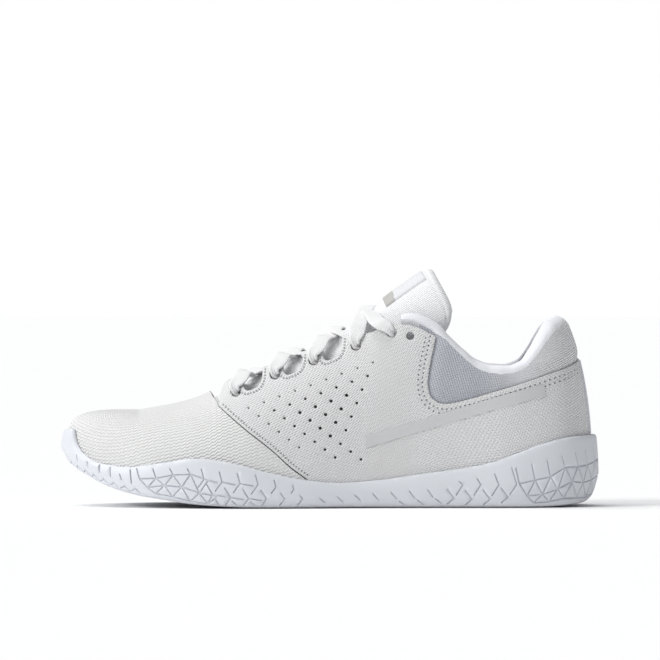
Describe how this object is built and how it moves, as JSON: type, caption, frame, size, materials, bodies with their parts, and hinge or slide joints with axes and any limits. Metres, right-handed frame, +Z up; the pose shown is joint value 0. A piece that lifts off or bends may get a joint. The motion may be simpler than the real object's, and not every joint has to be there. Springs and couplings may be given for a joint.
{
  "type": "cheer shoe",
  "caption": "Low-cut left cheer shoe with a thin foam cup sole, knit toe, lace-up quarters, padded collar and a padded tongue that folds forward.",
  "frame": {"origin": "on the ground under the middle of the shoe's bounding box", "axes": "+X from toe to heel, +Y from the lateral to the medial side, +Z up"},
  "size_m": [0.2688, 0.0961, 0.1175],
  "materials": {
    "sole_foam": "satin moulded foam",
    "board": "stiff non-woven board",
    "sockliner": "brushed textile on foam",
    "vamp_knit": "wavy embossed knit",
    "quarter_textile": "diamond embossed textile",
    "collar_mesh": "fine grey mesh",
    "collar_knit": "soft brushed knit",
    "tongue_knit": "ribbed knit",
    "lining": "matt lining textile",
    "padding": "open-cell foam",
    "backstay_film": "thin matt film",
    "stripe_film": "thin satin film",
    "label": "woven label",
    "lace": "flat woven lace",
    "aglet_plastic": "clear rolled film"
  },
  "bodies": {
    "shoe": {"sole_unit": "sole_foam", "strobel_board": "board", "sockliner_front": "sockliner", "vamp": "vamp_knit", "vamp_lining": "lining", "toe_puff": "board", "quarter_lateral": "quarter_textile", "quarter_medial": "quarter_textile", "eyestay_backing_lateral": "board", "eyestay_backing_medial": "board", "quarter_lining_lateral": "lining", "quarter_lining_medial": "lining", "heel_counter": "board", "backstay": "backstay_film", "collar_panel": "collar_mesh", "collar_foam": "padding", "collar_lining": "collar_knit", "tongue_face_lower": "tongue_knit", "tongue_foam_lower": "padding", "tongue_lining_lower": "lining", "side_stripe_lateral": "stripe_film", "side_stripe_medial": "stripe_film", "shoelace": "lace", "lace_end_lateral": "lace", "lace_end_medial": "lace", "aglet_lateral": "aglet_plastic", "aglet_medial": "aglet_plastic"},
    "tongue_top": {"tongue_face_upper": "tongue_knit", "tongue_foam_upper": "padding", "tongue_lining_upper": "lining", "tongue_label": "label"},
    "sockliner_heel": {"sockliner_rear": "sockliner"}
  },
  "joints": [
    {"name": "tongue_fold", "type": "hinge", "parent": "shoe", "child": "tongue_top", "pos_m": [0.0255, 0, 0.1015], "axis": [0, -1, 0], "range_deg": [-8, 45]},
    {"name": "sockliner_lift", "type": "hinge", "parent": "shoe", "child": "sockliner_heel", "pos_m": [-0.038, 0, 0.0153], "axis": [0, -1, 0], "range_deg": [0, 12]}
  ]
}
